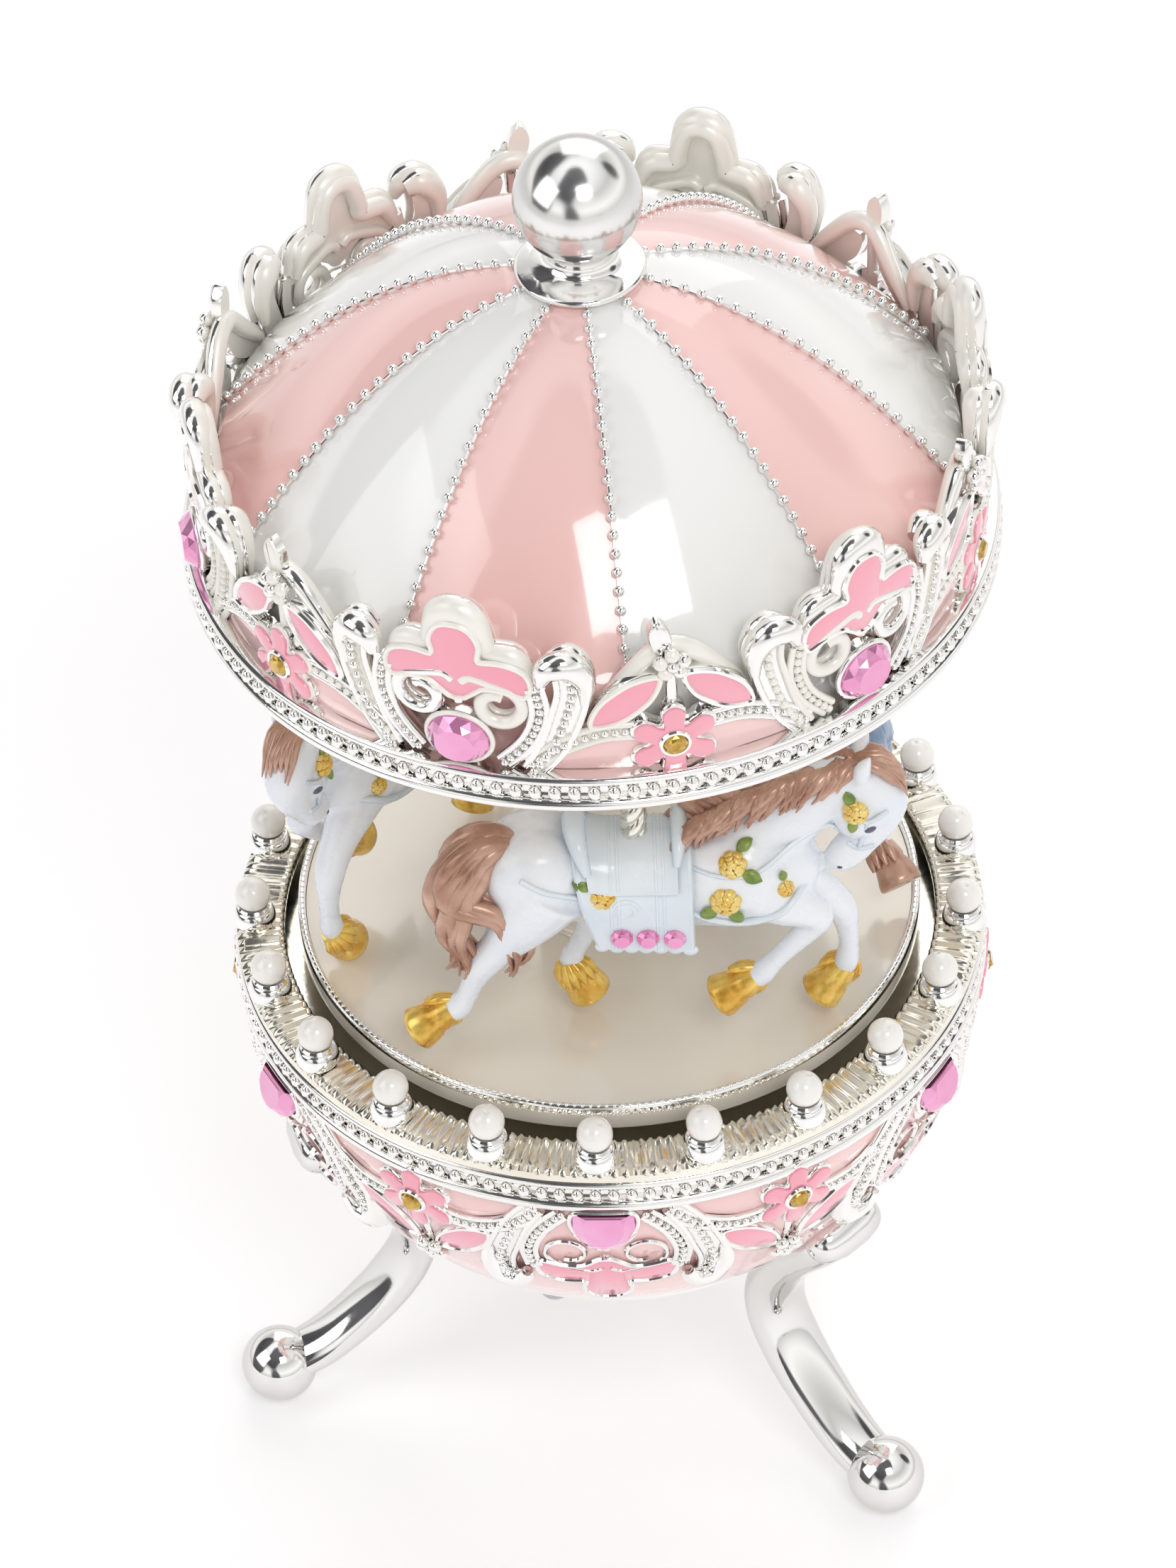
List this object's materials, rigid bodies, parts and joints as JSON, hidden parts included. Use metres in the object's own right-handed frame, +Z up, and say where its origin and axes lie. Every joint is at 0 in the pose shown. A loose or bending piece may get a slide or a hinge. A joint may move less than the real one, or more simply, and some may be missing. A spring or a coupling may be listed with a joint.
{
  "type": "carousel music box",
  "caption": "Carousel music box: a footed bowl with pearls round its rim, a turning floor with horses on rope poles, and a striped dome canopy with an openwork gallery.",
  "frame": {"origin": "on the table under the spindle axis, between the three ball feet", "axes": "+Z up along the spindle axis, -Y towards the viewer's side"},
  "size_m": [0.0899, 0.0891, 0.1756],
  "materials": {
    "silver": "bright polish",
    "pink_enamel": "gloss enamel",
    "dome_enamel": "gloss enamel",
    "pearl": "pearl lustre",
    "pink_stone": "faceted",
    "amber_stone": "faceted",
    "cream_mirror": "mirror lacquer",
    "steel": "ground",
    "brass": "turned",
    "pole_metal": "twisted rope",
    "horse_white": "pearl paint",
    "mane_bronze": "metallic paint",
    "mane_blue": "metallic paint",
    "saddle_blue": "pearl paint",
    "gold_paint": "metallic paint"
  },
  "bodies": {
    "base": {"base_bowl": "silver", "bowl_bead_band": "silver", "bowl_gallery": "silver", "bowl_enamel": "pink_enamel", "bowl_pink_stones": "pink_stone", "bowl_daisies": "pink_enamel", "bowl_amber_stones": "amber_stone", "fluted_rim": "silver", "pearl_cups": "silver", "pearls": "pearl", "leg_1": "silver", "leg_2": "silver", "leg_3": "silver", "leg_screws": "steel", "bottom_cover": "silver", "cover_screws": "steel", "deck_plate": "steel", "movement_bedplate": "brass", "cylinder_brackets": "brass", "comb_block": "brass", "tone_comb": "steel", "comb_screws": "steel"},
    "carousel": {"turntable_floor": "cream_mirror", "floor_rim": "silver", "spindle": "steel", "spindle_gear": "brass", "centre_column": "cream_mirror", "canopy_ceiling": "cream_mirror", "canopy_dome": "dome_enamel", "dome_ribs": "silver", "canopy_bead_band": "silver", "canopy_gallery": "silver", "canopy_enamel": "pink_enamel", "canopy_pink_stones": "pink_stone", "canopy_daisies": "pink_enamel", "canopy_amber_stones": "amber_stone", "finial_collar": "silver", "finial_ball": "silver", "pole_1": "pole_metal", "pole_2": "pole_metal", "pole_3": "pole_metal", "horse_1": "horse_white", "horse_2": "horse_white", "horse_3": "horse_white", "mane_tail_1": "mane_bronze", "mane_tail_2": "mane_blue", "mane_tail_3": "mane_bronze", "saddles": "saddle_blue", "saddle_stones": "pink_stone", "hooves": "gold_paint", "rose_trim": "gold_paint"},
    "spring_barrel": {"barrel_wheel": "brass", "mainspring": "steel"},
    "pinned_cylinder": {"music_cylinder": "brass"},
    "air_brake_wheel": {"governor_wheel": "brass"},
    "air_brake": {"governor_fan": "brass"},
    "key": {"winding_key": "brass"}
  },
  "joints": [
    {"name": "carousel_spin", "type": "hinge", "parent": "base", "child": "carousel", "pos_m": [0, 0, 0.06], "axis": [0, 0, 1], "continuous": true},
    {"name": "barrel_spin", "type": "hinge", "parent": "base", "child": "spring_barrel", "pos_m": [0.01403, 0.00324, 0.047], "axis": [0, 0, 1], "continuous": true},
    {"name": "cylinder_spin", "type": "hinge", "parent": "base", "child": "pinned_cylinder", "pos_m": [0.01403, 0.00324, 0.0523], "axis": [-0.225, 0.9744, 0], "continuous": true},
    {"name": "governor_wheel_spin", "type": "hinge", "parent": "base", "child": "air_brake_wheel", "pos_m": [-0.01403, -0.00324, 0.047], "axis": [0, 0, 1], "continuous": true},
    {"name": "governor_spin", "type": "hinge", "parent": "base", "child": "air_brake", "pos_m": [-0.017, 0.00962, 0.047], "axis": [0, 0, 1], "continuous": true},
    {"name": "key_turn", "type": "hinge", "parent": "base", "child": "key", "pos_m": [0.01403, 0.00324, 0.03], "axis": [0, 0, 1], "continuous": true}
  ],
  "couplings": [
    {"joint": "barrel_spin", "follows": "carousel_spin", "ratio": -0.5},
    {"joint": "cylinder_spin", "follows": "carousel_spin", "ratio": 1},
    {"joint": "governor_wheel_spin", "follows": "carousel_spin", "ratio": -0.5},
    {"joint": "governor_spin", "follows": "carousel_spin", "ratio": 1.3333}
  ]
}
